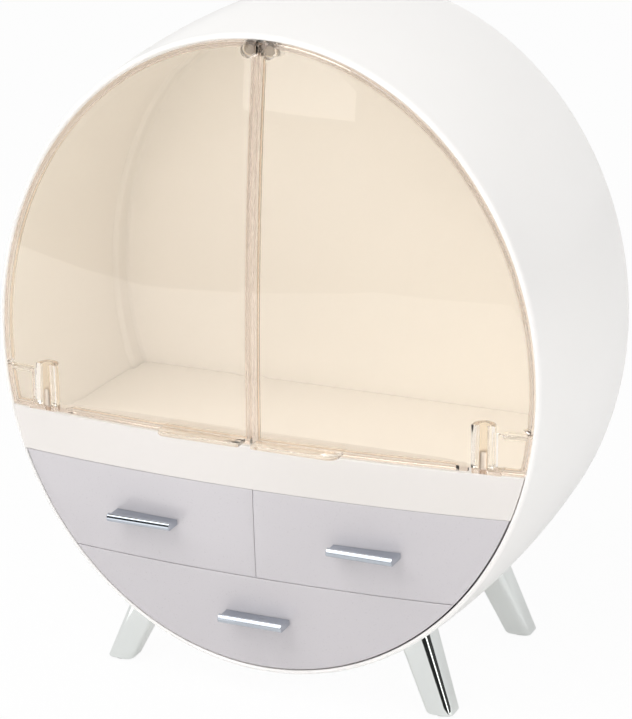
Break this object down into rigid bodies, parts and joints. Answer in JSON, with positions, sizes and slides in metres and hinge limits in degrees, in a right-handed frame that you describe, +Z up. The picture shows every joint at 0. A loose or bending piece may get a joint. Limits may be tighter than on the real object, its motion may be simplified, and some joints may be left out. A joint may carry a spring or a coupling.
{
  "type": "dustproof makeup organizer",
  "caption": "Oval drum cosmetics organizer with two tinted clear doors over an open compartment, drawers with bar handles below, and splayed legs.",
  "frame": {"origin": "on the ground, under the middle of the part's box", "axes": "+X to the viewer's right, +Y from the front to the back, +Z up; the doors and drawers face -Y"},
  "size_m": [0.3136, 0.1736, 0.3698],
  "materials": {
    "white_plastic": "smooth moulded, soft gloss",
    "grey_plastic": "smooth moulded pale grey, soft gloss",
    "tray_plastic": "moulded, satin",
    "tinted_clear": "clear moulded with a champagne tint, polished",
    "chrome": "bright plated",
    "steel": "plain turned steel",
    "dark_steel": "plain nickel grey",
    "rubber": "matte"
  },
  "bodies": {
    "case": {"drum_shell": "white_plastic", "back_panel": "white_plastic", "compartment_deck": "white_plastic", "drawer_shelf": "white_plastic", "drawer_divider": "white_plastic", "lower_rail_right": "white_plastic", "lower_rail_left": "white_plastic", "hinge_corner_right": "tinted_clear", "hinge_corner_left": "tinted_clear", "hinge_pin_right": "steel", "hinge_pin_left": "steel", "catch_plate": "dark_steel", "catch_screw": "steel", "back_screw_1": "steel", "back_screw_2": "steel", "back_screw_3": "steel", "back_screw_4": "steel", "front_leg_right": "chrome", "front_leg_left": "chrome", "rear_leg_right": "chrome", "rear_leg_left": "chrome", "front_leg_screw_right": "steel", "front_leg_screw_left": "steel", "rear_leg_screw_right": "steel", "rear_leg_screw_left": "steel", "front_foot_pad_right": "rubber", "front_foot_pad_left": "rubber", "rear_foot_pad_right": "rubber", "rear_foot_pad_left": "rubber"},
    "right_door": {"door_right": "tinted_clear", "door_magnet_right": "dark_steel"},
    "left_door": {"door_left": "tinted_clear", "door_magnet_left": "dark_steel"},
    "right_drawer": {"drawer_right_front": "grey_plastic", "drawer_right_tray": "tray_plastic", "drawer_right_handle": "chrome", "drawer_right_screw_1": "steel", "drawer_right_screw_2": "steel"},
    "left_drawer": {"drawer_left_front": "grey_plastic", "drawer_left_tray": "tray_plastic", "drawer_left_handle": "chrome", "drawer_left_screw_1": "steel", "drawer_left_screw_2": "steel"},
    "lower_drawer": {"drawer_lower_front": "grey_plastic", "drawer_lower_tray": "tray_plastic", "drawer_lower_handle": "chrome", "drawer_lower_screw_1": "steel", "drawer_lower_screw_2": "steel"}
  },
  "joints": [
    {"name": "door_right_hinge", "type": "hinge", "parent": "case", "child": "right_door", "pos_m": [0.1235, -0.0656, 0.165], "axis": [0, 0, 1], "range_deg": [0, 100]},
    {"name": "door_left_hinge", "type": "hinge", "parent": "case", "child": "left_door", "pos_m": [-0.1235, -0.0656, 0.165], "axis": [0, 0, -1], "range_deg": [0, 100]},
    {"name": "drawer_right_slide", "type": "slide", "parent": "case", "child": "right_drawer", "axis": [0, -1, 0], "range_m": [0, 0.1]},
    {"name": "drawer_left_slide", "type": "slide", "parent": "case", "child": "left_drawer", "axis": [0, -1, 0], "range_m": [0, 0.1]},
    {"name": "drawer_lower_slide", "type": "slide", "parent": "case", "child": "lower_drawer", "axis": [0, -1, 0], "range_m": [0, 0.1]}
  ]
}
